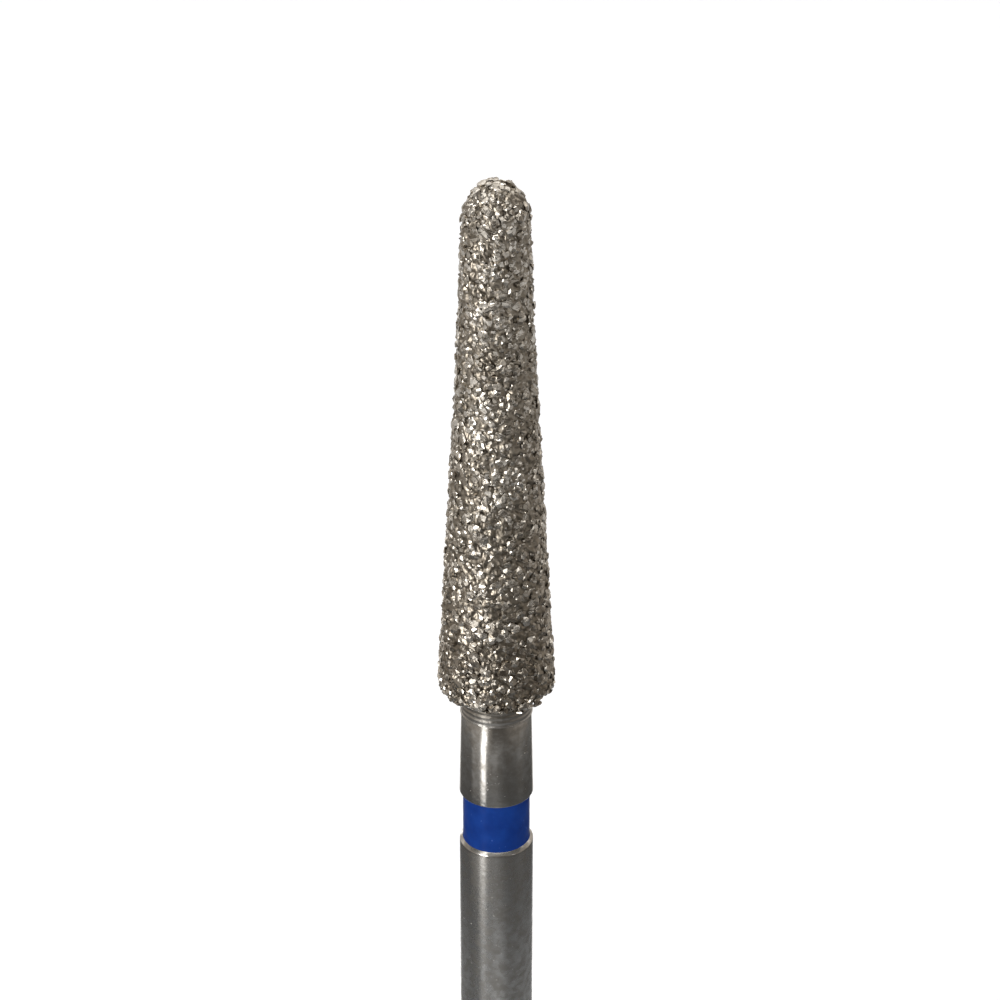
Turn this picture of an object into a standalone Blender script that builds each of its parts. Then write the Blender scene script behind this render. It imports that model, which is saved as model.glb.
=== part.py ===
"""Round-end taper diamond bur on a straight steel shank.

Three pieces share one axis: the turned steel blank, the coat of nickel and
diamond grains plated over its working end, and the blue lacquer ring in the
shank's groove. The axis is Z, and the shank's flat end is centred on the
origin.
"""

import math

import bmesh
import bpy
import numpy as np
from mathutils import Matrix, Vector, noise

MM = 0.001

# Whole bur
OVERALL_LENGTH = 44.5 * MM

# Shank and neck
SHANK_DIAMETER = 2.35 * MM
END_CHAMFER = 0.25 * MM
NECK_DIAMETER = 2.22 * MM
NECK_LENGTH = 3.58 * MM

# Working end, measured over the crests of the grains
HEAD_LENGTH = 17.55 * MM
HEAD_BASE_DIAMETER = 3.8 * MM
HEAD_TIP_DIAMETER = 2.16 * MM
TIP_DOME_HEIGHT = 1.35 * MM
UNDERSIDE_HEIGHT = 0.28 * MM
UNDERSIDE_ROUND = 0.16 * MM

# Coat of nickel and diamond, and the smooth collar where its plating ends
COAT_THICKNESS = 0.3 * MM
GRIT_RELIEF = 0.16 * MM
GRAIN_SPACING = 0.28 * MM
COLLAR_LENGTH = 0.5 * MM
COLLAR_THICKNESS = 0.05 * MM
COLLAR_PROUD = 0.02 * MM

# Colour ring and its groove
GROOVE_WIDTH = 1.7 * MM
GROOVE_DEPTH = 0.22 * MM
GROOVE_TOP_CHAMFER = 0.04 * MM
GROOVE_BOTTOM_CHAMFER = 0.1 * MM
LACQUER_THICKNESS = 0.1 * MM
LACQUER_EDGE_ROUND = 0.03 * MM

# Space between two pieces that touch on the real bur
FIT_GAP = 0.01 * MM

# Facets of every turned piece, and of the grit along the head
FACETS_AROUND = 56
GRIT_ROWS = 84
INNER_DOME_ROWS = 8
ROUND_ROWS = 4
GRAIN_SHIFT = 0.2
GRAIN_SHARE_SPREAD = 9.0
GRAIN_SLIP_SPREAD = 5.0

# Heights along the axis and radii that follow from the sizes
HEAD_BOTTOM = OVERALL_LENGTH - HEAD_LENGTH
DOME_BASE = OVERALL_LENGTH - TIP_DOME_HEIGHT
GROOVE_TOP = HEAD_BOTTOM - NECK_LENGTH
GROOVE_BOTTOM = GROOVE_TOP - GROOVE_WIDTH
COLLAR_BOTTOM = HEAD_BOTTOM - COLLAR_LENGTH
SHANK_RADIUS = SHANK_DIAMETER / 2
NECK_RADIUS = NECK_DIAMETER / 2
HEAD_BASE_RADIUS = HEAD_BASE_DIAMETER / 2
HEAD_TIP_RADIUS = HEAD_TIP_DIAMETER / 2
COLLAR_RADIUS = NECK_RADIUS + COLLAR_PROUD
COLLAR_BORE_RADIUS = COLLAR_RADIUS - COLLAR_THICKNESS
SEAT_RADIUS = COLLAR_BORE_RADIUS - FIT_GAP
GROOVE_FLOOR_RADIUS = SHANK_RADIUS - GROOVE_DEPTH

# Edges sharper than this stay sharp on the turned pieces
SHARP_ANGLE = math.radians(25)

# Name, colour, metallic and roughness of each finish
STEEL = ("polished steel", (0.56, 0.55, 0.53), 1.0, 0.22)
GRIT = ("nickel and diamond grit", (0.44, 0.4, 0.34), 0.9, 0.36)
LACQUER = ("blue lacquer", (0.005, 0.032, 0.19), 0.0, 0.2)


def clear_scene():
    for old in list(bpy.data.objects):
        bpy.data.objects.remove(old, do_unlink=True)


def new_collection(name):
    collection = bpy.data.collections.new(name)
    bpy.context.scene.collection.children.link(collection)
    return collection


def new_material(name, colour, metallic, roughness):
    material = bpy.data.materials.new(name)
    material.use_nodes = True
    shader = material.node_tree.nodes["Principled BSDF"]
    shader.inputs["Base Color"].default_value = (*colour, 1.0)
    shader.inputs["Metallic"].default_value = metallic
    shader.inputs["Roughness"].default_value = roughness
    return material


def round_corner(before, corner, after, radius, rows):
    """Points of the arc that rounds one corner of a profile, with the arc's ends on both sides."""
    corner = Vector(corner)
    back = (Vector(before) - corner).normalized()
    onward = (Vector(after) - corner).normalized()
    half_angle = back.angle(onward) / 2
    reach = radius / math.tan(half_angle)
    centre = corner + (back + onward).normalized() * (radius / math.sin(half_angle))
    start = corner + back * reach - centre
    end = corner + onward * reach - centre
    sweep = start.angle_signed(end)
    points = []
    for row in range(rows + 1):
        turned = Matrix.Rotation(-sweep * row / rows, 2) @ start
        points.append(tuple(centre + turned))
    return points


def dome_points(radius, height, base, rows):
    """Quarter of an ellipse from the axis at the tip down to the dome's base."""
    angles = np.linspace(0.0, math.pi / 2, rows + 1)
    return list(zip(radius * np.sin(angles), base + height * np.cos(angles)))


def underside_height(radius, depth):
    """Height of the head's conical underside at a radius, for a surface that lies depth inside it."""
    run = HEAD_BASE_RADIUS - NECK_RADIUS
    slope = UNDERSIDE_HEIGHT / run
    return HEAD_BOTTOM + (radius - NECK_RADIUS) * slope + depth * math.hypot(1.0, slope)


def head_surface(depth, foot_radius, dome_rows):
    """Profile of the head at a depth below the grain crests, from its tip to its foot on the neck."""
    widest = HEAD_BASE_RADIUS - depth
    dome = dome_points(HEAD_TIP_RADIUS - depth, TIP_DOME_HEIGHT - depth, DOME_BASE, dome_rows)
    corner = (widest, underside_height(widest, depth))
    foot = (foot_radius, underside_height(foot_radius, depth))
    return dome, corner, foot


def evenly_spaced(points, count):
    """The same profile drawn with count equal steps along its length."""
    line = np.array(points)
    along = np.concatenate(([0.0], np.cumsum(np.hypot(*np.diff(line, axis=0).T))))
    stops = np.linspace(0.0, along[-1], count + 1)
    return list(zip(np.interp(stops, along, line[:, 0]), np.interp(stops, along, line[:, 1])))


def turned_mesh(name, profile, closed, grit_points=0):
    """Mesh of a profile in the XZ plane turned about Z.

    Its first grit_points points are in a vertex group, whose weight is how
    far along the grit a point lies, from 0 at the tip to 1 at the last one.
    """
    count = len(profile)
    edges = [(i, i + 1) for i in range(count - 1)]
    if closed:
        edges.append((count - 1, 0))
    outline = bpy.data.meshes.new(name + " profile")
    outline.from_pydata([(radius, 0.0, height) for radius, height in profile], edges, [])
    lathe = bpy.data.objects.new(name + " lathe", outline)
    bpy.context.scene.collection.objects.link(lathe)
    group = lathe.vertex_groups.new(name="grit")
    for point in range(grit_points):
        group.add([point], point / (grit_points - 1), "REPLACE")
    screw = lathe.modifiers.new("turn", "SCREW")
    screw.axis = "Z"
    screw.steps = FACETS_AROUND
    screw.render_steps = FACETS_AROUND
    screw.use_merge_vertices = True
    screw.merge_threshold = 0.001 * MM
    depsgraph = bpy.context.evaluated_depsgraph_get()
    mesh = bpy.data.meshes.new_from_object(lathe.evaluated_get(depsgraph), preserve_all_data_layers=True,
                                           depsgraph=depsgraph)
    mesh.name = name
    bpy.data.objects.remove(lathe, do_unlink=True)
    bpy.data.meshes.remove(outline)
    return mesh


def place(name, mesh, finish, collection):
    mesh.materials.clear()
    mesh.materials.append(new_material(*finish))
    piece = bpy.data.objects.new(name, mesh)
    collection.objects.link(piece)
    return piece


def shade_turned(mesh):
    mesh.shade_smooth()
    mesh.set_sharp_from_angle(angle=SHARP_ANGLE)


def blank_profile():
    """Steel blank from the core's tip, over the seat, neck and groove, to the shank's flat end."""
    dome, corner, foot = head_surface(COAT_THICKNESS + FIT_GAP, SEAT_RADIUS, INNER_DOME_ROWS)
    seat_bottom = COLLAR_BOTTOM - FIT_GAP
    return dome + [
        corner,
        foot,
        (SEAT_RADIUS, seat_bottom),
        (NECK_RADIUS, seat_bottom),
        (SHANK_RADIUS, GROOVE_TOP + GROOVE_TOP_CHAMFER),
        (SHANK_RADIUS - GROOVE_TOP_CHAMFER, GROOVE_TOP),
        (GROOVE_FLOOR_RADIUS, GROOVE_TOP),
        (GROOVE_FLOOR_RADIUS, GROOVE_BOTTOM),
        (SHANK_RADIUS - GROOVE_BOTTOM_CHAMFER, GROOVE_BOTTOM),
        (SHANK_RADIUS, GROOVE_BOTTOM - GROOVE_BOTTOM_CHAMFER),
        (SHANK_RADIUS, END_CHAMFER),
        (SHANK_RADIUS - END_CHAMFER, 0.0),
        (0.0, 0.0),
    ]


def coat_profile():
    """Coat from its outer tip down the grit, round the collar, and back up its inside; and the grit's points."""
    dome, corner, foot = head_surface(0.0, COLLAR_RADIUS, GRIT_ROWS)
    rounded = round_corner(dome[-1], corner, foot, UNDERSIDE_ROUND, ROUND_ROWS)
    grit = evenly_spaced(dome + rounded + [foot], GRIT_ROWS)
    inner_dome, inner_corner, inner_foot = head_surface(COAT_THICKNESS, COLLAR_BORE_RADIUS, INNER_DOME_ROWS)
    collar = [(COLLAR_RADIUS, COLLAR_BOTTOM), (COLLAR_BORE_RADIUS, COLLAR_BOTTOM)]
    inside = [inner_foot, inner_corner] + inner_dome[::-1]
    return grit + collar + inside, GRIT_ROWS


def ring_profile():
    """Band with rounded outer edges that lies in the shank's groove."""
    inner = GROOVE_FLOOR_RADIUS + FIT_GAP
    outer = inner + LACQUER_THICKNESS
    top = GROOVE_TOP - FIT_GAP
    bottom = GROOVE_BOTTOM + FIT_GAP
    upper = round_corner((inner, top), (outer, top), (outer, bottom), LACQUER_EDGE_ROUND, ROUND_ROWS)
    lower = round_corner((outer, top), (outer, bottom), (inner, bottom), LACQUER_EDGE_ROUND, ROUND_ROWS)
    return upper + lower + [(inner, bottom), (inner, top)]


def grain_height(point):
    """Grit height at a point, from 0 in a gap to 1 on a high crest.

    The nearest grain centre, d grain spacings away, gives a rounded cap
    1 - d * d. A share of its own, from 0 to 1, says how far the grain stands
    out.
    """
    distances, centres = noise.voronoi(point / GRAIN_SPACING)
    share = 0.5 + 0.5 * noise.cell(centres[0] * GRAIN_SHARE_SPREAD)
    return max(0.0, 1.0 - distances[0] ** 2) * share


def roughen(mesh):
    """Set the coat's outer points to the crests and gaps of the grains.

    Every other row is turned by half a facet, so that the facets become
    near-equal triangles, and each point slips sideways a little of its own.
    """
    form = bmesh.new()
    form.from_mesh(mesh)
    form.normal_update()
    weights = form.verts.layers.deform.verify()
    facet_angle = 2 * math.pi / FACETS_AROUND
    moves = {}
    for vert in form.verts:
        if 0 not in vert[weights]:
            continue
        row = round(vert[weights][0] * (GRIT_ROWS - 1))
        slip = GRAIN_SHIFT * noise.cell(vert.co / GRAIN_SPACING * GRAIN_SLIP_SPREAD)
        turn = Matrix.Rotation(facet_angle * (0.5 * (row % 2) + slip), 3, "Z")
        crest = turn @ vert.co
        moves[vert] = crest - turn @ vert.normal * (GRIT_RELIEF * (1.0 - grain_height(crest)))
    for vert, position in moves.items():
        vert.co = position
    bmesh.ops.triangulate(form, faces=form.faces[:], quad_method="SHORT_EDGE")
    form.to_mesh(mesh)
    form.free()


def build_blank(collection):
    mesh = turned_mesh("steel_blank", blank_profile(), closed=False)
    shade_turned(mesh)
    return place("steel_blank", mesh, STEEL, collection)


def build_coat(collection):
    profile, grit_points = coat_profile()
    mesh = turned_mesh("diamond_coat", profile, closed=False, grit_points=grit_points)
    roughen(mesh)
    mesh.shade_flat()
    return place("diamond_coat", mesh, GRIT, collection)


def build_ring(collection):
    mesh = turned_mesh("colour_ring", ring_profile(), closed=True)
    shade_turned(mesh)
    return place("colour_ring", mesh, LACQUER, collection)


def main():
    clear_scene()
    bur = new_collection("dental bur")
    build_blank(bur)
    build_coat(bur)
    build_ring(bur)


main()
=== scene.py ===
"""Dental bur with a round-ended taper of diamond grit, a steel shank and a blue colour ring.

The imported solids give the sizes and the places. Four kinds of piece are
worked out here as whole arrays: the turned steel, the nickel that holds the
grit, the diamond grains in it, and the lacquer in the groove. Their lengths
are in millimetres until a mesh is made. Lengths on the stage are in metres.
"""

from math import atan, cos, pi, radians, sin

import bpy
import numpy as np
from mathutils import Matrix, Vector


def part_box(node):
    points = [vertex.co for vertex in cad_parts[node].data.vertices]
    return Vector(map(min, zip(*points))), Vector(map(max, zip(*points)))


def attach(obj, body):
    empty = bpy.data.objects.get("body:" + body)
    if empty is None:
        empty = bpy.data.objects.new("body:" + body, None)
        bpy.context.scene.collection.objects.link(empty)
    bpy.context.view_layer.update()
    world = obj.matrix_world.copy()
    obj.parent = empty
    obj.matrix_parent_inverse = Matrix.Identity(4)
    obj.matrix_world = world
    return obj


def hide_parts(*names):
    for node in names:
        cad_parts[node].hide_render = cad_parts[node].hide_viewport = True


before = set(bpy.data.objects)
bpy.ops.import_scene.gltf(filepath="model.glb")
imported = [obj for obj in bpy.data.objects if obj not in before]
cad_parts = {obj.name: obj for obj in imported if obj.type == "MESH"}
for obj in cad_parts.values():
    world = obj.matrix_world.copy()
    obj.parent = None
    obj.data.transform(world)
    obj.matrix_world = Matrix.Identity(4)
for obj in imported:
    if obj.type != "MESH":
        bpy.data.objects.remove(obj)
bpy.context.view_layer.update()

MM = 0.001

# Shank, groove and neck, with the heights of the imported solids
FIT_GAP = 0.01
EDGE_STEPS = 4
SHANK_RADIUS = 1.175
END_CHAMFER = 0.25
NECK_RADIUS = 1.11
NECK_EDGE = 0.04
GROOVE_WEAR = 0.03
GROOVE_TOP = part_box("colour_ring")[1].z / MM + FIT_GAP
GROOVE_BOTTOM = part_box("colour_ring")[0].z / MM - FIT_GAP - GROOVE_WEAR
GROOVE_FLOOR = 0.955
LEDGE = 0.1
STEEL_COLUMNS = 192

# Lacquer: its face, its rise at the groove's walls and its unevenness
RING_RADIUS = 1.065
RING_CLEARANCE = 0.003
RING_ROWS = 34
WETTING_RISE = 0.018
WETTING_REACH = 0.04
RING_SWELL = 0.003
RING_SWELL_SIZE = 0.5
RING_EDGE = 0.02

# The head over its highest grains
COLLAR_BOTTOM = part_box("diamond_coat")[0].z / MM - 0.1
HEAD_BOTTOM = COLLAR_BOTTOM + 0.6
CREST_TOP = 44.43
TIP_RADIUS = 1.085
DOME_HEIGHT = 1.35
BASE_RADIUS = 1.885
WAIST = 0.08
CORNER_RISE = 0.26
CORNER_CUT = 0.28
CORNER_STEPS = 10
DOME_STEPS = 24
SIDE_ROWS = 60
COAT_DEPTH = 0.3
INNER_STEPS = 10

# Nickel bond: what it climbs at each grain, and its ripples as (height, size, seed)
NICKEL_DEPTH = 0.17
NICKEL_CLIMB = 0.08
CLIMB_REACH = 0.19
CLIMB_CELLS = 4
NICKEL_RIPPLES = ((0.025, 0.22, 5), (0.015, 0.12, 6))
NICKEL_FADE = 0.2
NICKEL_TIP = 0.03
NICKEL_ROWS = 300
NICKEL_COLUMNS = 200

# Collar: its face has fine lines from LINE_START below the head to LINE_END
# above the collar's bottom. The corners of the bead at its foot are given as
# (beyond the collar's radius, above its bottom).
COLLAR_RADIUS = 1.13
COLLAR_BORE = 1.08
LINE_INSET = 0.006
LINE_DEPTH = 0.007
LINE_PITCH = 0.17
LINE_ROWS = 24
LINE_START = 0.01
LINE_END = 0.09
BEAD = ((-0.014, 0.07), (-0.014, 0.055), (0.012, 0.03), (0.012, 0.0))
BEAD_CUTS = (0.005, 0.006, 0.008, 0)

# Grains: how many, their sizes, and how far each kind is sunk
LARGE_COUNT = 2700
SMALL_COUNT = 2400
LARGE_SIZE = (0.24, 0.38)
SMALL_SIZE = (0.12, 0.24)
LARGE_SINK = 0.11
LARGE_SINK_POWER = 1.3
SMALL_SINK = (0.03, 0.15)
HOLLOW = 0.04
HOLLOW_SIZE = 1.1
PLACE_ROWS = 900
GOLDEN_TURN = radians(137.508)
NEAR_AXIS = 0.1

# A crystal's rings as (radius, height), and the random ranges of its corners
SIDES = 6
RINGS = ((0.62, -0.72), (1.0, -0.12), (0.92, 0.3), (0.5, 0.78))
CORNER_TURN = 0.32
SIDE_STRETCH = (0.72, 1.2)
RING_STRETCH = (0.85, 1.12)
HEIGHT_STRETCH = (0.8, 1.15)
RING_SLOPE = 0.4
GRAIN_HEIGHT = 0.48
GRAIN_LEAN = 0.16
LEAN_SIZE = 0.9
TONE_RANGE = (0.1, 0.9)
TONE_PATCH = 0.2
TONE_PATCH_SIZE = 1.6

# Seeds of the random draws
LARGE_PLACE_SEED = 11
SMALL_PLACE_SEED = 12
SIZE_SEED = 13
LARGE_SHAPE_SEED = 21
SMALL_SHAPE_SEED = 22
LACQUER_SEED = 31
HOLLOW_SEED = 41
LEAN_SEED = 51
TONE_SEED = 61


def new_mesh(name, points, faces, smooth):
    """Mesh object of points in millimetres, with its faces given as lists of corners."""
    mesh = bpy.data.meshes.new(name)
    mesh.from_pydata((points * MM).tolist(), [], faces)
    mesh.update()
    if smooth:
        mesh.shade_smooth()
    else:
        mesh.shade_flat()
    piece = bpy.data.objects.new(name, mesh)
    bpy.context.scene.collection.objects.link(piece)
    return piece


def ring_faces(rows, columns, closed):
    """Corners of the four-sided faces of a grid that is joined round its columns.

    A closed grid's last row is joined to its first row too.
    """
    row = np.arange(rows if closed else rows - 1)[:, None] * columns
    below = (row + columns) % (rows * columns)
    here = np.arange(columns)[None, :]
    beside = (here + 1) % columns
    return np.stack([row + here, below + here, below + beside, row + beside], -1).reshape(-1, 4)


def turned_points(outline, columns):
    """Grid of an outline turned about Z.

    Point (row, column) is at that row's radius and height, and at column /
    columns of a turn.
    """
    angle = np.arange(columns) * 2 * pi / columns
    radius = outline[:, 0, None]
    height = outline[:, 1, None] + 0 * angle
    return np.stack([radius * np.cos(angle), radius * np.sin(angle), height], -1)


def skin(name, grid, first_pole=None, last_pole=None):
    """Closed smooth surface over a grid of points.

    Fans of triangles close it at its two poles. Without poles, its last row
    is joined to its first row.
    """
    rows, columns, _ = grid.shape
    points = grid.reshape(-1, 3)
    faces = ring_faces(rows, columns, first_pole is None).tolist()
    if first_pole is not None:
        here = np.arange(columns)
        beside = (here + 1) % columns
        top = np.full(columns, len(points))
        last = (rows - 1) * columns
        faces += np.stack([top, here, beside], -1).tolist()
        faces += np.stack([last + beside, last + here, top + 1], -1).tolist()
        points = np.concatenate([points, [first_pole, last_pole]])
    return new_mesh(name, points, faces, True)


def outline_of(corners, cuts, steps):
    """Straight lines through the corners, with each inner corner rounded.

    A corner c is drawn as (1 - t)^2 a + 2 t (1 - t) c + t^2 b with t from 0
    to 1, where a and b lie that corner's cut away from it on its two sides.
    """
    corners = np.array(corners, float)
    t = np.linspace(0, 1, steps + 1)[:, None]
    parts = [corners[:1]]
    for before, corner, after, cut in zip(corners, corners[1:], corners[2:], cuts):
        if cut:
            a = corner + (before - corner) * cut / np.hypot(*(before - corner))
            b = corner + (after - corner) * cut / np.hypot(*(after - corner))
            parts.append((1 - t) ** 2 * a + 2 * t * (1 - t) * corner + t**2 * b)
        else:
            parts.append(corner[None])
    parts.append(corners[-1:])
    return np.concatenate(parts)


def dome(radius, height, base, steps):
    """Quarter of an ellipse, from the axis down: (radius sin a, base + height cos a)."""
    angle = np.linspace(0, pi / 2, steps + 1)
    return np.stack([radius * np.sin(angle), base + height * np.cos(angle)], -1)


def respaced(outline, count):
    """The outline as count points at equal steps along it."""
    along = np.concatenate([[0], np.cumsum(np.hypot(*np.diff(outline, axis=0).T))])
    stops = np.linspace(0, along[-1], count)
    return np.stack([np.interp(stops, along, column) for column in outline.T], -1)


def outward(outline):
    """Unit normals of an outline that runs down the outside.

    Each is the outline's direction, turned a quarter turn away from the axis.
    """
    along = np.gradient(outline, axis=0)
    along /= np.hypot(along[:, 0], along[:, 1])[:, None]
    return np.stack([-along[:, 1], along[:, 0]], -1)


def ripples(points, size, seed, waves=30):
    """Uneven height between about -2 and 2, whose bumps are about size across.

    It is the sum of plane waves cos(k . p + phase) in random directions,
    with wavelengths of 0.7 to 1.6 times size.
    """
    rng = np.random.default_rng(seed)
    k = rng.normal(size=(3, waves))
    k *= 2 * pi / (size * rng.uniform(0.7, 1.6, waves)) / np.linalg.norm(k, axis=0)
    return np.cos(points @ k + rng.uniform(0, 2 * pi, waves)).sum(-1) / (waves / 2) ** 0.5


def head_outline(depth, steps=DOME_STEPS):
    """Outline of the head at a depth below its highest grains, from the tip to the collar.

    Its side runs straight but for a shallow waist, WAIST sin(pi s) (1 - s)
    deep, where s is the share of the side above.
    """
    top = dome(TIP_RADIUS - depth, DOME_HEIGHT - depth, CREST_TOP - DOME_HEIGHT, steps)
    widest = BASE_RADIUS - depth
    slope = CORNER_RISE / (BASE_RADIUS - NECK_RADIUS)
    foot = HEAD_BOTTOM + (COLLAR_RADIUS - NECK_RADIUS) * slope + depth
    corner = (widest, HEAD_BOTTOM + CORNER_RISE + depth)
    lower = outline_of([top[-1], corner, (COLLAR_RADIUS, foot)], [CORNER_CUT], CORNER_STEPS)
    side = respaced(lower[:2], SIDE_ROWS)
    down = np.linspace(0, 1, SIDE_ROWS)
    side[:, 0] -= WAIST * np.sin(pi * down) * (1 - down)
    return np.concatenate([top[:-1], side, lower[2:]])


def grain_places(count, seed):
    """Places spread evenly over the head.

    The k-th of n lies where (k + 0.5) / n of the head's area is above it,
    and is turned 137.5 degrees from the one before. Each is then moved by a
    random part of the spacing. Its turn is moved as it would be NEAR_AXIS or
    more from the axis. Gives the point, the normal, how far down the outline
    it lies and its angle.
    """
    rng = np.random.default_rng(seed)
    outline = respaced(head_outline(0), PLACE_ROWS)
    normal = outward(outline)
    row = np.arange(PLACE_ROWS)
    step = np.hypot(*np.diff(outline, axis=0).T)
    strip = 2 * pi * (outline[1:, 0] + outline[:-1, 0]) / 2 * step
    area = np.concatenate([[0], np.cumsum(strip)])
    spacing = (area[-1] / count) ** 0.5
    share = (np.arange(count) + 0.5) / count
    along = np.interp(share * area[-1], area, row)
    along += rng.uniform(-0.5, 0.5, count) * spacing / step.mean()
    along = np.clip(along, 0, row[-1])
    radius, height = (np.interp(along, row, column) for column in outline.T)
    moved = rng.uniform(-0.5, 0.5, count) * spacing / np.maximum(radius, NEAR_AXIS)
    angle = np.arange(count) * GOLDEN_TURN + moved
    tilt = np.stack([np.interp(along, row, column) for column in normal.T], -1)
    tilt /= np.hypot(tilt[:, 0], tilt[:, 1])[:, None]
    around = np.stack([np.cos(angle), np.sin(angle)], -1)
    points = np.concatenate([radius[:, None] * around, height[:, None]], -1)
    normals = np.concatenate([tilt[:, :1] * around, tilt[:, 1:]], -1)
    return points, normals, along / row[-1], angle


def random_turns(count, rng):
    """Rotation matrices of random unit quaternions (w, x, y, z)."""
    q = rng.normal(size=(4, count))
    w, x, y, z = q / np.linalg.norm(q, axis=0)
    rows = [
        [1 - 2 * (y * y + z * z), 2 * (x * y - w * z), 2 * (x * z + w * y)],
        [2 * (x * y + w * z), 1 - 2 * (x * x + z * z), 2 * (y * z - w * x)],
        [2 * (x * z - w * y), 2 * (y * z + w * x), 1 - 2 * (x * x + y * y)],
    ]
    return np.array(rows).transpose(2, 0, 1)


def crystal_corners(sizes, seed):
    """Corners of blocky crystals, one for each size, about their centres.

    A crystal is four rings of six corners. Corner u of ring v is at that
    ring's height and radius times the crystal's half size, at u sixths of a
    turn. Each side's corners share a random stretch, so that the facets of
    a side stay nearly flat, and each ring is tipped by its own random slope.
    """
    rng = np.random.default_rng(seed)
    count, rings = len(sizes), len(RINGS)
    ring_radius, ring_height = np.array(RINGS).T
    moved = rng.uniform(-CORNER_TURN, CORNER_TURN, (count, SIDES))
    angle = (np.arange(SIDES) + moved) * 2 * pi / SIDES
    stretch = rng.uniform(*SIDE_STRETCH, (count, SIDES))
    ring_stretch = rng.uniform(*RING_STRETCH, (count, rings, 1))
    radius = ring_radius[None, :, None] * stretch[:, None, :] * ring_stretch
    x = radius * np.cos(angle)[:, None, :]
    y = radius * np.sin(angle)[:, None, :]
    slope = rng.uniform(-RING_SLOPE, RING_SLOPE, (2, count, rings, 1))
    level = ring_height[None, :, None] * rng.uniform(*HEIGHT_STRETCH, (count, 1, 1))
    z = level + slope[0] * x + slope[1] * y
    corners = np.stack([x, y, z], -1).reshape(count, -1, 3)
    corners = np.einsum("nij,nkj->nki", random_turns(count, rng), corners)
    return corners * sizes[:, None, None] / 2


def crystal_faces(count):
    """Faces of one crystal's rings and its two flat ends, repeated for each crystal."""
    each = SIDES * len(RINGS)
    start = np.arange(count) * each
    sides = ring_faces(len(RINGS), SIDES, False)[:, ::-1]
    bottom = np.arange(SIDES)[::-1]
    top = np.arange(SIDES) + each - SIDES
    quads = (start[:, None, None] + sides).reshape(-1, 4).tolist()
    ends = (start[:, None, None] + np.array([bottom, top])).reshape(-1, SIDES).tolist()
    return quads + ends


def grains(name, points, normals, sizes, drops, seed):
    """One crystal at each place, flattened and set at a depth below the highest grains.

    Each is flattened to GRAIN_HEIGHT of its own height along the normal plus
    GRAIN_LEAN times slow ripples in x, y and z, so that neighbours lean the
    same way. Its highest corner lies drop below the highest grains. Its tone
    is a random number, raised or lowered by slow ripples.
    """
    corners = crystal_corners(sizes, seed)
    slow = np.stack([ripples(points, LEAN_SIZE, LEAN_SEED + i) for i in range(3)], -1)
    lean = normals + GRAIN_LEAN * slow
    lean /= np.linalg.norm(lean, axis=1)[:, None]
    rise = np.einsum("nki,ni->nk", corners, lean)
    corners = corners - (1 - GRAIN_HEIGHT) * rise[..., None] * lean[:, None]
    reach = np.einsum("nki,ni->nk", corners, normals).max(1)
    centres = points - normals * (drops + reach)[:, None]
    corners = corners + centres[:, None]
    piece = new_mesh(name, corners.reshape(-1, 3), crystal_faces(len(sizes)), False)
    tone = np.random.default_rng(seed + 1).uniform(*TONE_RANGE, len(sizes))
    tone = tone + TONE_PATCH * ripples(points, TONE_PATCH_SIZE, TONE_SEED)
    tones = piece.data.attributes.new("tone", "FLOAT", "POINT")
    tones.data.foreach_set("value", np.repeat(tone, corners.shape[1]).astype(np.float32))
    return piece


def nickel_surface(places):
    """Nickel bond on the head, the collar below it, and the bore inside.

    The bond lies NICKEL_DEPTH below the highest grains. It climbs each
    grain's foot by NICKEL_CLIMB (1 - (d / CLIMB_REACH)^2), where d is the
    distance to the foot, and is uneven by ripples besides. The collar's face
    waves in and out by LINE_DEPTH cos(2 pi h / LINE_PITCH) at a height h
    above its bottom, which gives its turned lines, and ends in a bead.
    """
    outer = respaced(head_outline(NICKEL_DEPTH), NICKEL_ROWS)
    grid = turned_points(outer, NICKEL_COLUMNS)
    push = turned_points(outward(outer), NICKEL_COLUMNS)
    climb = np.zeros(grid.shape[:2])
    points, normals, along, turn = places
    feet = points - normals * NICKEL_DEPTH
    rows = np.round(along * (NICKEL_ROWS - 1)).astype(int)
    columns = np.round(turn / (2 * pi) * NICKEL_COLUMNS).astype(int)
    near = np.arange(-CLIMB_CELLS, CLIMB_CELLS + 1)
    near_rows = np.clip(rows[:, None, None] + near[:, None], 0, NICKEL_ROWS - 1)
    near_columns = (columns[:, None, None] + near) % NICKEL_COLUMNS
    distance = np.linalg.norm(grid[near_rows, near_columns] - feet[:, None, None], axis=-1)
    np.maximum.at(climb, (near_rows, near_columns), 1 - (distance / CLIMB_REACH) ** 2)
    uneven = sum(height * ripples(grid, size, seed) for height, size, seed in NICKEL_RIPPLES)
    fade = np.clip((grid[..., 2] - HEAD_BOTTOM) / NICKEL_FADE, 0, 1)
    grid = grid + push * ((NICKEL_CLIMB * climb + uneven) * fade)[..., None]
    height = np.linspace(outer[-1, 1] - LINE_START, COLLAR_BOTTOM + LINE_END, LINE_ROWS)
    line = LINE_DEPTH * np.cos(2 * pi * (height - COLLAR_BOTTOM) / LINE_PITCH)
    face = np.stack([COLLAR_RADIUS - LINE_INSET + line, height], -1)
    bead = [(COLLAR_RADIUS + out, COLLAR_BOTTOM + up) for out, up in BEAD]
    bore = [(COLLAR_BORE, COLLAR_BOTTOM), (COLLAR_BORE, HEAD_BOTTOM + COAT_DEPTH)]
    foot = outline_of(bead + bore, BEAD_CUTS, EDGE_STEPS)
    inner = head_outline(COAT_DEPTH, INNER_STEPS)[::-1][1:-1]
    inside = turned_points(np.concatenate([face, foot, inner]), NICKEL_COLUMNS)
    grid = np.concatenate([grid[1:], inside])
    outer_pole = [0, 0, CREST_TOP - NICKEL_DEPTH + NICKEL_TIP]
    return skin("nickel_bond", grid, outer_pole, [0, 0, CREST_TOP - COAT_DEPTH])


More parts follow.
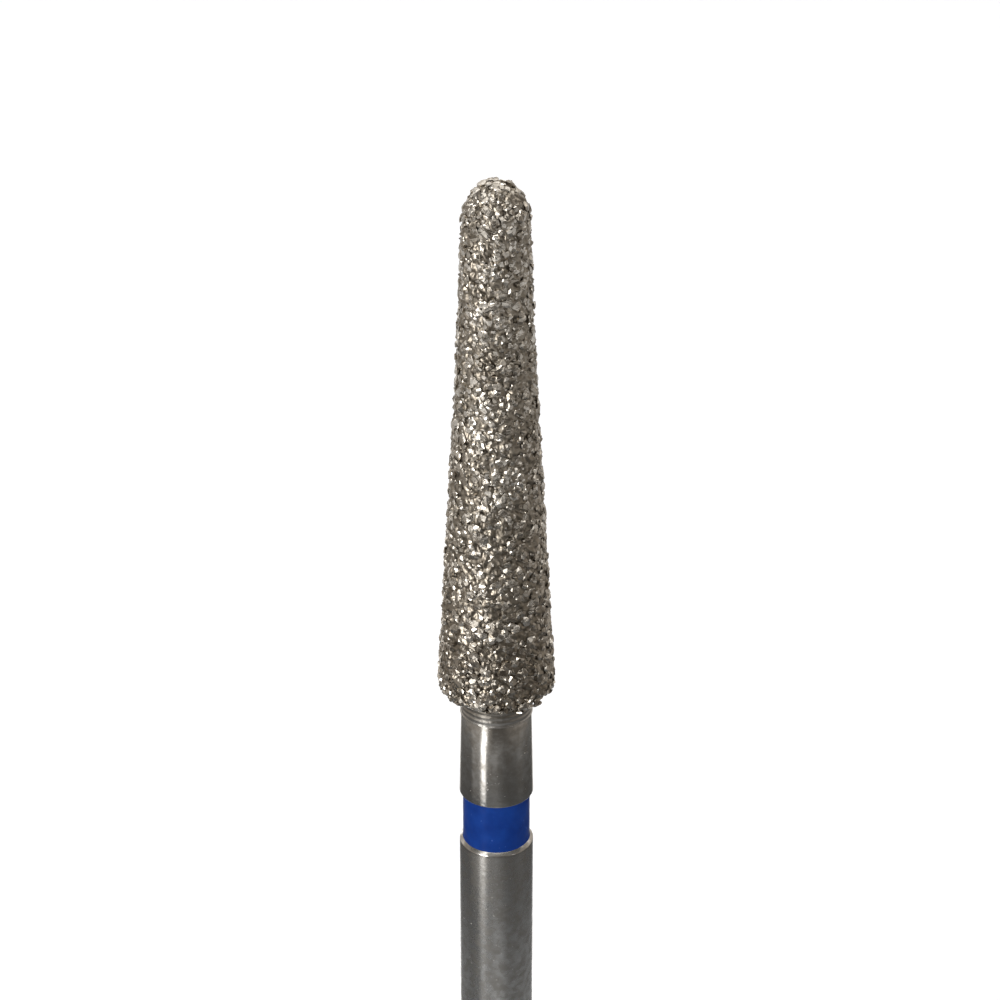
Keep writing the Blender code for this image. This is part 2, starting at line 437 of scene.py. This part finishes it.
def steel_surface():
    """Steel blank, turned from one outline.

    It is the core inside the head, the seat of the collar, a neck that widens
    evenly down to the groove, the groove with worn edges, the ledge below it,
    the shank and the chamfered end. Each row of the lower outline is (radius,
    height, cut of the rounded corner).
    """
    depth = COAT_DEPTH + FIT_GAP
    core = head_outline(depth, INNER_STEPS)[1:]
    seat = COLLAR_BORE - FIT_GAP
    core[-1, 0] = seat
    lower = np.array([
        (*core[-1], 0),
        (seat, COLLAR_BOTTOM - FIT_GAP, 0),
        (NECK_RADIUS, COLLAR_BOTTOM - FIT_GAP, 0.02),
        (SHANK_RADIUS, GROOVE_TOP + NECK_EDGE, 0.012),
        (SHANK_RADIUS - NECK_EDGE, GROOVE_TOP, 0.012),
        (GROOVE_FLOOR, GROOVE_TOP, 0.012),
        (GROOVE_FLOOR, GROOVE_BOTTOM, 0.012),
        (SHANK_RADIUS - LEDGE, GROOVE_BOTTOM, 0.01),
        (SHANK_RADIUS, GROOVE_BOTTOM - LEDGE, 0.02),
        (SHANK_RADIUS, END_CHAMFER, 0.04),
        (SHANK_RADIUS - END_CHAMFER, 0, 0.04),
        (0, 0, 0),
    ])
    lower = outline_of(lower[:, :2], lower[1:-1, 2], EDGE_STEPS)[1:-1]
    grid = turned_points(np.concatenate([core, lower]), STEEL_COLUMNS)
    return skin("turned_steel", grid, [0, 0, CREST_TOP - depth], [0, 0, 0])


def lacquer_surface():
    """Band of lacquer in the groove, turned about Z.

    Its face lies at RING_RADIUS and rises by WETTING_RISE exp(-d /
    WETTING_REACH) at a distance d from each of its edges, where it wets the
    groove's walls. Away from its edges it is uneven by RING_SWELL ripples.
    """
    inner = GROOVE_FLOOR + FIT_GAP
    top, bottom = GROOVE_TOP - RING_CLEARANCE, GROOVE_BOTTOM + RING_CLEARANCE
    height = bottom + (top - bottom) * (1 - np.cos(np.linspace(0, pi, RING_ROWS))) / 2
    edge = np.minimum(top - height, height - bottom)
    face = np.stack([RING_RADIUS + WETTING_RISE * np.exp(-edge / WETTING_REACH), height], -1)
    outline = np.concatenate([[(inner, top)], face[::-1], [(inner, bottom)]])
    grid = turned_points(outline, STEEL_COLUMNS)
    middle = (grid[..., 2] < top - RING_EDGE) & (grid[..., 2] > bottom + RING_EDGE)
    swell = RING_SWELL * ripples(grid, RING_SWELL_SIZE, LACQUER_SEED) * middle
    grid[..., :2] *= (1 + swell / RING_RADIUS)[..., None]
    return skin("lacquer_band", grid)


def new_material(name, colour, metallic, roughness):
    """Material, its node tree and its Principled shader, which has these plain values.

    A plain value shows wherever no node is linked in its place.
    """
    material = bpy.data.materials.new(name)
    material.use_nodes = True
    tree = material.node_tree
    shader = tree.nodes["Principled BSDF"]
    shader.inputs["Base Color"].default_value = (*colour, 1)
    shader.inputs["Metallic"].default_value = metallic
    shader.inputs["Roughness"].default_value = roughness
    return material, tree, shader


def node(tree, kind, inputs=None, **settings):
    """New node with its settings.

    Its named or numbered inputs are set to values, or linked to the outputs
    of other nodes.
    """
    made = tree.nodes.new(kind)
    for name, value in settings.items():
        setattr(made, name, value)
    for name, value in (inputs or {}).items():
        if isinstance(value, bpy.types.NodeSocket):
            tree.links.new(value, made.inputs[name])
        else:
            made.inputs[name].default_value = value
    return made


def combined(tree, operation, first, second):
    """Number worked out from two others, such as their sum or product."""
    return node(tree, "ShaderNodeMath", {0: first, 1: second}, operation=operation).outputs[0]


def object_place(tree):
    """Place on the piece, in metres."""
    return node(tree, "ShaderNodeTexCoord").outputs["Object"]


def noise(tree, place, scale, detail):
    """Smooth random number between 0 and 1 at each place."""
    inputs = {"Vector": place, "Scale": scale, "Detail": detail}
    return node(tree, "ShaderNodeTexNoise", inputs).outputs["Fac"]


def new_group(name, inputs, outputs):
    """Node group with named number inputs, given with their values, and named number outputs."""
    tree = bpy.data.node_groups.new(name, "ShaderNodeTree")
    for label, value in inputs.items():
        socket = tree.interface.new_socket(label, in_out="INPUT", socket_type="NodeSocketFloat")
        socket.default_value = value
    for label in outputs:
        tree.interface.new_socket(label, in_out="OUTPUT", socket_type="NodeSocketFloat")
    return tree, tree.nodes.new("NodeGroupInput").outputs, tree.nodes.new("NodeGroupOutput").inputs


def crumple_group():
    """Fine uneven height and a slow mottle, from noise of two sizes."""
    scales = {"Fine Scale": 14000, "Slow Scale": 2500}
    tree, given, result = new_group("crumple", scales, ["Height", "Mottle"])
    place = object_place(tree)
    tree.links.new(noise(tree, place, given["Fine Scale"], 0.7), result["Height"])
    tree.links.new(noise(tree, place, given["Slow Scale"], 3.0), result["Mottle"])
    return tree


def turning_group():
    """Fine lines round the axis.

    They are noise that changes quickly with height and, much more slowly,
    round the piece.
    """
    scales = {"Lines": 9000, "Waver": 150}
    tree, given, result = new_group("turning marks", scales, ["Height"])
    apart = node(tree, "ShaderNodeSeparateXYZ", {0: object_place(tree)}).outputs
    drawn = {
        0: combined(tree, "MULTIPLY", apart["X"], given["Waver"]),
        1: combined(tree, "MULTIPLY", apart["Y"], given["Waver"]),
        2: combined(tree, "MULTIPLY", apart["Z"], given["Lines"]),
    }
    joined = node(tree, "ShaderNodeCombineXYZ", drawn).outputs[0]
    tree.links.new(noise(tree, joined, 1.0, 3.0), result["Height"])
    return tree


def dust_group():
    """Irregular specks where a fine noise is high, kept to where a slow noise is high too.

    The slow noise counts slow_part as much as the fine one. Its mean share is
    added to the least value too, and the specks are full edge above that.
    """
    slow_part, slow_scale, edge = 0.35, 0.14, 0.05
    tree, given, result = new_group("dust", {"Scale": 9000, "Least": 0.68}, ["Mask"])
    place = object_place(tree)
    fine = noise(tree, place, given["Scale"], 2.0)
    slow = noise(tree, place, combined(tree, "MULTIPLY", given["Scale"], slow_scale), 2.0)
    both = combined(tree, "ADD", fine, combined(tree, "MULTIPLY", slow, slow_part))
    least = combined(tree, "ADD", given["Least"], slow_part / 2)
    full = combined(tree, "ADD", least, edge)
    tree.links.new(spread(tree, both, least, full), result["Mask"])
    return tree


def use(tree, group, **inputs):
    """Outputs of a group placed in a material, with its own values for the inputs."""
    made = node(tree, "ShaderNodeGroup", node_tree=group)
    for label, value in inputs.items():
        made.inputs[label.replace("_", " ")].default_value = value
    return made.outputs


def spread(tree, value, start, end, low=0.0, high=1.0):
    """Number that goes evenly from low to high as the value goes from start to end."""
    inputs = {"Value": value, "From Min": start, "From Max": end, "To Min": low, "To Max": high}
    return node(tree, "ShaderNodeMapRange", inputs).outputs[0]


def mixed(tree, share, first, second):
    """Colour that goes from first to second with the share."""
    made = node(tree, "ShaderNodeMix", data_type="RGBA")
    for index, value in ((0, share), (6, first), (7, second)):
        if isinstance(value, bpy.types.NodeSocket):
            tree.links.new(value, made.inputs[index])
        else:
            made.inputs[index].default_value = value
    return made.outputs[2]


def bumped(tree, height, strength, distance, normal=None):
    """Normal of a bump of that height, with its distance in millimetres, on another normal."""
    inputs = {"Height": height, "Strength": strength, "Distance": distance * MM}
    if normal is not None:
        inputs["Normal"] = normal
    return node(tree, "ShaderNodeBump", inputs).outputs["Normal"]


crumple = crumple_group()
turning = turning_group()
dust = dust_group()


def grain_material():
    """Diamond grains under a flash of nickel, each with its own tone and crumpled facets."""
    dark, light = (0.29, 0.259, 0.218, 1), (0.575, 0.54, 0.487, 1)
    material, tree, shader = new_material("diamond grains", (0.5, 0.43, 0.34), 1.0, 0.26)
    tone = node(tree, "ShaderNodeAttribute", attribute_name="tone").outputs["Fac"]
    fold = use(tree, crumple, Fine_Scale=5600, Slow_Scale=2500)
    tree.links.new(mixed(tree, tone, dark, light), shader.inputs["Base Color"])
    tree.links.new(bumped(tree, fold["Height"], 0.8, 0.035), shader.inputs["Normal"])
    return material


def nickel_material():
    """Nickel: dark and crumpled between the grains, lighter and turned on the collar. Its dark
    colour is partly its own and partly painted shade in the gaps between the grains, and it runs
    down onto the collar's top as painted shade under the head.
    """
    # The dark colour is partly the nickel's own and partly painted shade between the grains; the
    # lighter one is the turned nickel lower on the collar.
    between, on_collar = (0.25, 0.22, 0.18, 1), (0.44, 0.425, 0.4, 1)
    material, tree, shader = new_material("nickel", (0.3, 0.25, 0.19), 1.0, 0.34)
    height = node(tree, "ShaderNodeSeparateXYZ", {0: object_place(tree)}).outputs["Z"]
    # Painted shade under the head: the collar's top keeps the dark colour, which fades to the
    # lighter one towards its foot.
    collar = spread(tree, height, (HEAD_BOTTOM + 0.05) * MM, (COLLAR_BOTTOM + 0.1) * MM)
    fold = use(tree, crumple, Fine_Scale=8000, Slow_Scale=1800)
    lines = use(tree, turning, Lines=12000, Waver=200)
    # Base colour, with the painted shade between the grains and under the head.
    tree.links.new(mixed(tree, collar, between, on_collar), shader.inputs["Base Color"])
    folded = bumped(tree, fold["Height"], 0.5, 0.03)
    tree.links.new(bumped(tree, lines["Height"], 0.25, 0.006, folded), shader.inputs["Normal"])
    return material


def steel_material():
    """Turned steel: polished neck, satin shank below the ring, faint smudges, specks of dust."""
    light, dark, speck = (0.63, 0.62, 0.6, 1), (0.43, 0.41, 0.38, 1), (0.72, 0.7, 0.67, 1)
    polished, satin, smudged, dusty = 0.13, 0.23, 0.12, 0.6
    material, tree, shader = new_material("turned steel", (0.56, 0.55, 0.53), 1.0, 0.2)
    height = node(tree, "ShaderNodeSeparateXYZ", {0: object_place(tree)}).outputs["Z"]
    lines = use(tree, turning, Lines=9000, Waver=120)
    fold = use(tree, crumple, Fine_Scale=7000, Slow_Scale=3800)
    specks = use(tree, dust, Scale=8000, Least=0.715)
    ledge_edge = (GROOVE_BOTTOM - LEDGE) * MM
    finish = spread(tree, height, ledge_edge, (GROOVE_BOTTOM - 2 * LEDGE) * MM, polished, satin)
    smudge = spread(tree, fold["Mottle"], 0.4, 0.7, 0.0, smudged)
    dull = combined(tree, "MULTIPLY", specks["Mask"], dusty)
    rough = combined(tree, "MAXIMUM", combined(tree, "ADD", finish, smudge), dull)
    tree.links.new(rough, shader.inputs["Roughness"])
    colour = mixed(tree, spread(tree, fold["Mottle"], 0.35, 0.65), light, dark)
    tree.links.new(mixed(tree, specks["Mask"], colour, speck), shader.inputs["Base Color"])
    marks = bumped(tree, lines["Height"], 0.3, 0.004)
    tree.links.new(bumped(tree, fold["Height"], 0.45, 0.004, marks), shader.inputs["Normal"])
    return material


def lacquer_material():
    """Glossy blue lacquer with a slow mottle and a little dust."""
    dark, light, speck = (0.003, 0.025, 0.16, 1), (0.005, 0.036, 0.205, 1), (0.05, 0.1, 0.33, 1)
    material, tree, shader = new_material("blue lacquer", (0.005, 0.032, 0.19), 0.0, 0.28)
    shader.inputs["Specular IOR Level"].default_value = 0.1
    fold = use(tree, crumple, Fine_Scale=3000, Slow_Scale=1500)
    specks = use(tree, dust, Scale=9000, Least=0.72)
    colour = mixed(tree, spread(tree, fold["Mottle"], 0.35, 0.65), dark, light)
    tree.links.new(mixed(tree, specks["Mask"], colour, speck), shader.inputs["Base Color"])
    tree.links.new(bumped(tree, fold["Height"], 0.1, 0.01), shader.inputs["Normal"])
    return material


def place_on(piece, material, solid):
    """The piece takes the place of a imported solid, with its finish."""
    piece.data.materials.append(material)
    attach(piece, "root")
    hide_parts(solid)


grain_finish = grain_material()
nickel_finish = nickel_material()
steel_finish = steel_material()
lacquer_finish = lacquer_material()

large = grain_places(LARGE_COUNT, LARGE_PLACE_SEED)
small = grain_places(SMALL_COUNT, SMALL_PLACE_SEED)
rng = np.random.default_rng(SIZE_SEED)
large_sizes = rng.uniform(*LARGE_SIZE, LARGE_COUNT)
small_sizes = rng.uniform(*SMALL_SIZE, SMALL_COUNT)
hollows = HOLLOW * np.clip(ripples(large[0], HOLLOW_SIZE, HOLLOW_SEED), 0, 2)
large_drops = hollows + LARGE_SINK * rng.uniform(0, 1, LARGE_COUNT) ** LARGE_SINK_POWER
small_drops = rng.uniform(*SMALL_SINK, SMALL_COUNT)
place_on(nickel_surface(large), nickel_finish, "diamond_coat")
place_on(grains("large_grains", large[0], large[1], large_sizes, large_drops, LARGE_SHAPE_SEED),
         grain_finish, "diamond_coat")
place_on(grains("small_grains", small[0], small[1], small_sizes, small_drops, SMALL_SHAPE_SEED),
         grain_finish, "diamond_coat")
place_on(steel_surface(), steel_finish, "steel_blank")
place_on(lacquer_surface(), lacquer_finish, "colour_ring")

# Stage: all the rest is seen round the bur, or in its reflections
FLOOR_HALF = 1.5
FLOOR_COLOUR = (0.92, 0.92, 0.92)
FLOOR_GLOW = 0.3
SKY_LEVEL = 0.65
HEAD_MIDDLE = 0.035
LAMP_DISTANCE = 0.25

# The camera looks down, so each part of the bur reflects what stands lower
# round it. The shank, neck and head cards are close to the bur. The far,
# upper, high and crown cards rise one above the other further out, where the
# tilted facets of the grains reflect them.

# Colours of the cards where they are dim, and of every card where it is bright
GREY = (1, 0.97, 0.93, 1)
COOL = (0.97, 0.985, 1, 1)
WARM = (1, 0.9, 0.79, 1)
BRIGHT = (1, 0.985, 0.96, 1)
DIM_SHADE = 0.3
BRIGHT_SHADE = 1.6
CARD_STEPS = 180


def pale_floor():
    """Square floor at the shank's end, which glows a little where the camera sees it."""
    mesh = bpy.data.meshes.new("pale floor")
    corners = [(-FLOOR_HALF, -FLOOR_HALF, 0), (FLOOR_HALF, -FLOOR_HALF, 0),
               (FLOOR_HALF, FLOOR_HALF, 0), (-FLOOR_HALF, FLOOR_HALF, 0)]
    mesh.from_pydata(corners, [], [(0, 1, 2, 3)])
    floor = bpy.data.objects.new("pale floor", mesh)
    bpy.context.scene.collection.objects.link(floor)
    material, tree, shader = new_material("pale floor", FLOOR_COLOUR, 0.0, 0.9)
    seen = node(tree, "ShaderNodeLightPath").outputs["Is Camera Ray"]
    glow = combined(tree, "MULTIPLY", seen, FLOOR_GLOW)
    tree.links.new(glow, shader.inputs["Emission Strength"])
    shader.inputs["Emission Color"].default_value = (1, 1, 1, 1)
    mesh.materials.append(material)


def reflection_card(name, dim, outline, stops):
    """Card turned about Z from its outline, seen only in reflections.

    Each stop is (degrees from the front, shade), and the shade runs evenly
    from one stop to the next. Each point of the outline is (radius, height,
    level), and its shade is multiplied by its level. The card glows in the
    dim colour where its shade is low, and in BRIGHT where it is high.
    """
    azimuth = np.linspace(-180, 180, CARD_STEPS + 1)
    turn = np.radians(azimuth)
    shade = np.interp(azimuth, *np.array(stops).T)
    radius, height, level = np.array(outline).T[:, :, None]
    points = np.stack([radius * np.sin(turn), -radius * np.cos(turn), height + 0 * turn], -1)
    below = np.arange(len(outline) - 1)[:, None] * (CARD_STEPS + 1) + np.arange(CARD_STEPS)
    above = below + CARD_STEPS + 1
    faces = np.stack([below, below + 1, above + 1, above], -1).reshape(-1, 4)
    mesh = bpy.data.meshes.new(name)
    mesh.from_pydata(points.reshape(-1, 3).tolist(), [], faces.tolist())
    shades = mesh.attributes.new("shade", "FLOAT", "POINT")
    shades.data.foreach_set("value", (level * shade).ravel().astype(np.float32))
    card = bpy.data.objects.new(name, mesh)
    bpy.context.scene.collection.objects.link(card)
    material = bpy.data.materials.new(name)
    material.use_nodes = True
    tree = material.node_tree
    tree.nodes.clear()
    value = node(tree, "ShaderNodeAttribute", attribute_name="shade").outputs["Fac"]
    colour = mixed(tree, spread(tree, value, DIM_SHADE, BRIGHT_SHADE), dim, BRIGHT)
    glow = node(tree, "ShaderNodeEmission", {"Color": colour, "Strength": value})
    node(tree, "ShaderNodeOutputMaterial", {"Surface": glow.outputs[0]})
    mesh.materials.append(material)
    card.visible_camera = card.visible_diffuse = False
    card.visible_transmission = card.visible_shadow = False


def softbox(name, azimuth, elevation, width, height, radiance):
    """Area lamp in a direction from the head's middle, which it faces.

    Its power is the one that gives its face this radiance.
    """
    data = bpy.data.lights.new(name, "AREA")
    data.shape = "RECTANGLE"
    data.size, data.size_y = width, height
    data.energy = radiance * pi * width * height
    lamp = bpy.data.objects.new(name, data)
    a, e = radians(azimuth), radians(elevation)
    way = np.array([sin(a) * cos(e), -cos(a) * cos(e), sin(e)])
    lamp.location = way * LAMP_DISTANCE + (0, 0, HEAD_MIDDLE)
    lamp.rotation_euler = (pi / 2 - e, 0, a)
    lamp.visible_camera = False
    bpy.context.scene.collection.objects.link(lamp)


def soft_sky():
    """World that lights the bur at SKY_LEVEL and is white to the camera and in reflections."""
    world = bpy.data.worlds.new("soft light")
    bpy.context.scene.world = world
    world.use_nodes = True
    tree = world.node_tree
    sky = tree.nodes["Background"]
    path = node(tree, "ShaderNodeLightPath").outputs
    seen = combined(tree, "ADD", path["Is Camera Ray"], path["Is Glossy Ray"])
    seen = combined(tree, "ADD", seen, path["Is Transmission Ray"])
    tree.links.new(spread(tree, seen, 0.0, 1.0, SKY_LEVEL, 1.0), sky.inputs["Strength"])
    sky.inputs["Color"].default_value = (1, 1, 1, 1)


pale_floor()

reflection_card("shank card", COOL, (
    (0.002, 0.0003, 3), (0.024, 0.0003, 2.5), (0.024, 0.0058, 1.1), (0.024, 0.0072, 1),
), (
    (-180, 0.8), (-163, 0.7), (-150, 0.1), (-110, 0.09), (-80, 0.065), (-52, 0.075), (-44, 0.22),
    (-36, 0.22), (-30, 0.15), (-14, 0.17), (0, 0.2), (12, 0.18), (26, 0.12), (40, 0.09),
    (150, 0.1), (163, 0.7), (180, 0.8),
))
reflection_card("neck card", GREY, (
    (0.024, 0.0072, 0.9), (0.024, 0.0115, 1.3), (0.024, 0.015, 2.0),
), (
    (-180, 0.95), (-162, 0.9), (-150, 0.12), (-84, 0.1), (-76, 0.23), (-50, 0.25), (-45, 1.7),
    (-36, 1.7), (-30, 0.18), (-14, 0.18), (0, 0.18), (9, 0.13), (26, 0.09), (60, 0.09),
    (78, 0.13), (100, 0.1), (150, 0.1), (162, 0.85), (180, 0.95),
))
reflection_card("head card", WARM, (
    (0.024, 0.015, 1), (0.024, 0.027, 1),
), (
    (-180, 0.62), (-158, 0.6), (-155, 2.2), (-147, 2.2), (-144, 0.6), (-125, 0.65), (-100, 0.45),
    (-80, 0.4), (-66, 0.38), (-45, 0.42), (-41, 2.7), (-30, 2.7), (-27, 0.42), (-20, 0.28),
    (-10, 0.1), (25, 0.11), (45, 0.2), (90, 0.38), (130, 0.62), (180, 0.62),
))
reflection_card("upper card", WARM, (
    (0.4, 0.16, 1), (0.36, 0.27, 1),
), (
    (-180, 0.9), (-158, 0.8), (-154, 2.2), (-144, 2.2), (-140, 0.5), (-120, 0.4), (-80, 0.3),
    (-58, 0.34), (-48, 0.38), (-44, 2.7), (-32, 2.7), (-28, 0.22), (-15, 0.1), (15, 0.11),
    (40, 0.24), (80, 0.34), (116, 0.42), (124, 1.1), (150, 1.1), (180, 0.9),
))
reflection_card("high card", GREY, (
    (0.36, 0.27, 1), (0.25, 0.46, 1),
), (
    (-180, 1.9), (-150, 1.7), (-132, 0.2), (-120, 0.16), (-80, 0.18), (-58, 0.34), (-53, 3.0),
    (-41, 3.0), (-37, 0.4), (-20, 0.34), (20, 0.26), (60, 0.17), (92, 0.15), (106, 1.8),
    (180, 1.9),
))
reflection_card("crown card", GREY, (
    (0.25, 0.46, 1), (0.12, 0.58, 1),
), (
    (-180, 1.7), (-60, 1.5), (-50, 2.6), (-30, 2.6), (-20, 1.5), (45, 1.7), (60, 3.0),
    (110, 3.0), (125, 1.7), (180, 1.7),
))
reflection_card("far card", WARM, (
    (0.4, 0.001, 1), (0.4, 0.16, 1),
), (
    (-180, 0.75), (-159, 0.7), (-155, 2.4), (-143, 2.4), (-139, 0.7), (-125, 0.8), (-105, 0.45),
    (-80, 0.32), (-66, 0.3), (-48, 0.34), (-44, 2.9), (-27, 2.9), (-20, 0.18), (-8, 0.1),
    (20, 0.11), (45, 0.2), (75, 0.36), (100, 0.52), (125, 0.75), (180, 0.75),
))

softbox("key lamp", azimuth=-40, elevation=20, width=0.1, height=0.12, radiance=9.5)
softbox("side lamp", azimuth=52, elevation=10, width=0.05, height=0.05, radiance=1.9)

soft_sky()

# Camera: it looks down at the ring's middle. In the square picture, counted in
# pixels, the shank is SHANK_PIXELS wide there, and RING_ROW is the row of the
# ring's middle at its front.
PICTURE = 1000
SHANK_PIXELS = 73.6
AXIS_COLUMN = 496.4
RING_ROW = 830.5
RING_MIDDLE = GROOVE_TOP - 0.825
VIEW_DISTANCE = 0.110
VIEW_DOWN = radians(34)
SENSOR = 36


def picture_camera():
    """Camera at the picture's viewing angle, with no turn about its own line of sight.

    What lies an angle b off the middle of the picture, at VIEW_DISTANCE, is
    shown at focal / (VIEW_DISTANCE cos b) pixels to the metre. The focal
    length in pixels is worked out from that again and again until it settles.
    """
    scale = SHANK_PIXELS / (2 * SHANK_RADIUS * MM)
    axis_row = RING_ROW - SHANK_PIXELS / 2 * sin(VIEW_DOWN)
    focal = scale * VIEW_DISTANCE
    for _ in range(20):
        below_middle = atan((axis_row - PICTURE / 2) / focal)
        focal = scale * VIEW_DISTANCE * cos(below_middle)
    camera = bpy.data.objects.new("camera", bpy.data.cameras.new("camera"))
    camera.data.sensor_width = camera.data.sensor_height = SENSOR
    camera.data.lens = SENSOR * focal / PICTURE
    camera.data.clip_start = 0.001
    camera.location = ((PICTURE / 2 - AXIS_COLUMN) / scale, -VIEW_DISTANCE * cos(VIEW_DOWN),
                       RING_MIDDLE * MM + VIEW_DISTANCE * sin(VIEW_DOWN))
    camera.rotation_euler = (pi / 2 - (VIEW_DOWN - below_middle), 0, 0)
    bpy.context.scene.collection.objects.link(camera)
    bpy.context.scene.camera = camera


picture_camera()

bpy.context.scene.view_settings.view_transform = "Standard"
